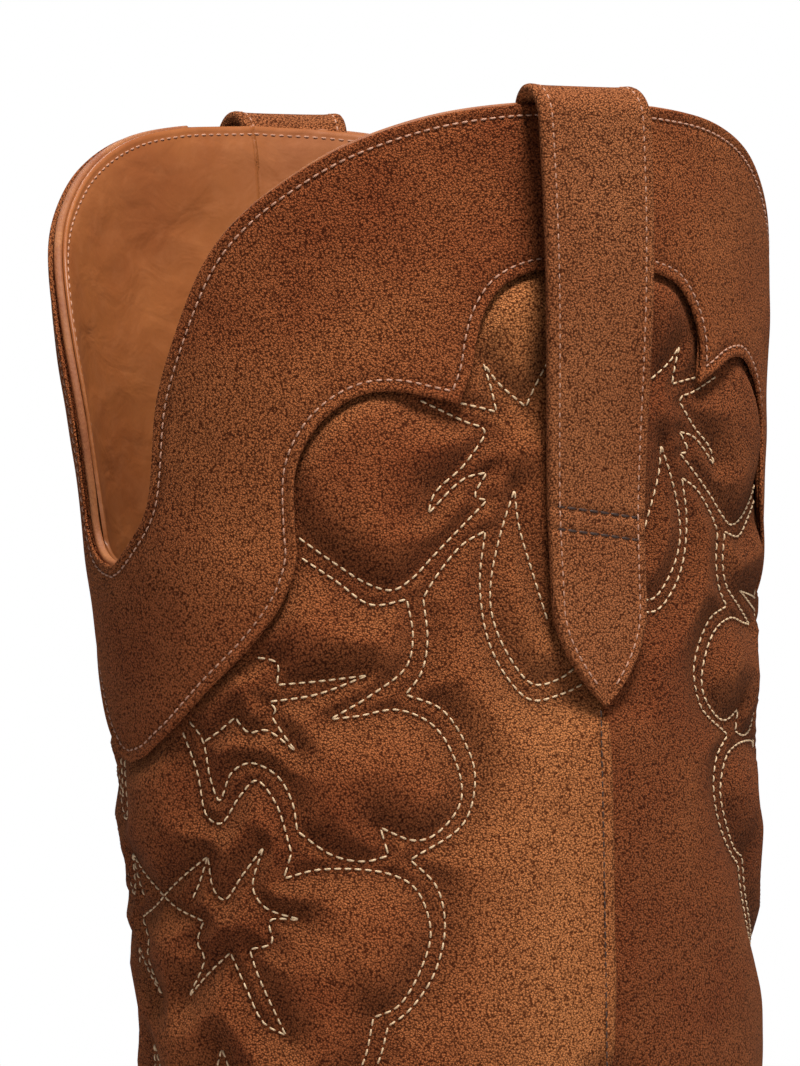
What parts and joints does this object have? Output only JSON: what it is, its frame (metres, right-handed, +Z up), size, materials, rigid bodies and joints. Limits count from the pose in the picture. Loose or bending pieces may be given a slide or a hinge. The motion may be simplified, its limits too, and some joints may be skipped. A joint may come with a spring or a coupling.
{
  "type": "cowboy boot",
  "caption": "Pull-on western boot with a tall scalloped shaft, stitched collar, pull straps and a stacked underslung heel.",
  "frame": {"origin": "on the floor, under the middle of the boot's box", "axes": "+Z up the shaft, -X towards the toe, -Y towards the lateral (outer) side of a left boot"},
  "size_m": [0.2813, 0.137, 0.3999],
  "materials": {
    "suede": "matte napped suede",
    "strap_suede": "matte napped suede",
    "lining_leather": "smooth satin",
    "edge_leather": "raw cut edge",
    "fibre_board": "fibre board",
    "sole_leather": "burnished",
    "stacked_leather": "burnished edge",
    "rubber": "matte",
    "cork": "granular",
    "steel": "plain",
    "brass": "worn",
    "peg_wood": "raw"
  },
  "bodies": {
    "root": {"shaft_front": "suede", "shaft_back": "suede", "collar_front": "suede", "collar_back": "suede", "pull_strap_lateral": "strap_suede", "pull_strap_medial": "strap_suede", "shaft_lining_front": "lining_leather", "shaft_lining_back": "lining_leather", "rim_binding_front": "edge_leather", "rim_binding_back": "edge_leather", "vamp": "suede", "heel_cover": "suede", "vamp_lining": "lining_leather", "heel_lining": "lining_leather", "heel_stiffener": "fibre_board", "toe_puff": "fibre_board", "insole": "fibre_board", "sock_liner": "lining_leather", "cork_filler": "cork", "shank": "steel", "welt": "sole_leather", "heel_rand": "sole_leather", "outsole": "sole_leather", "heel_lift_1": "stacked_leather", "heel_lift_2": "stacked_leather", "heel_lift_3": "stacked_leather", "heel_lift_4": "stacked_leather", "heel_lift_5": "stacked_leather", "heel_lift_6": "stacked_leather", "top_lift": "rubber", "heel_nail_1": "brass", "heel_nail_2": "brass", "heel_nail_3": "brass", "heel_nail_4": "brass", "heel_nail_5": "brass", "wood_peg_1": "peg_wood", "wood_peg_2": "peg_wood", "wood_peg_3": "peg_wood", "wood_peg_4": "peg_wood", "wood_peg_5": "peg_wood", "wood_peg_6": "peg_wood", "wood_peg_7": "peg_wood", "wood_peg_8": "peg_wood"}
  },
  "joints": []
}
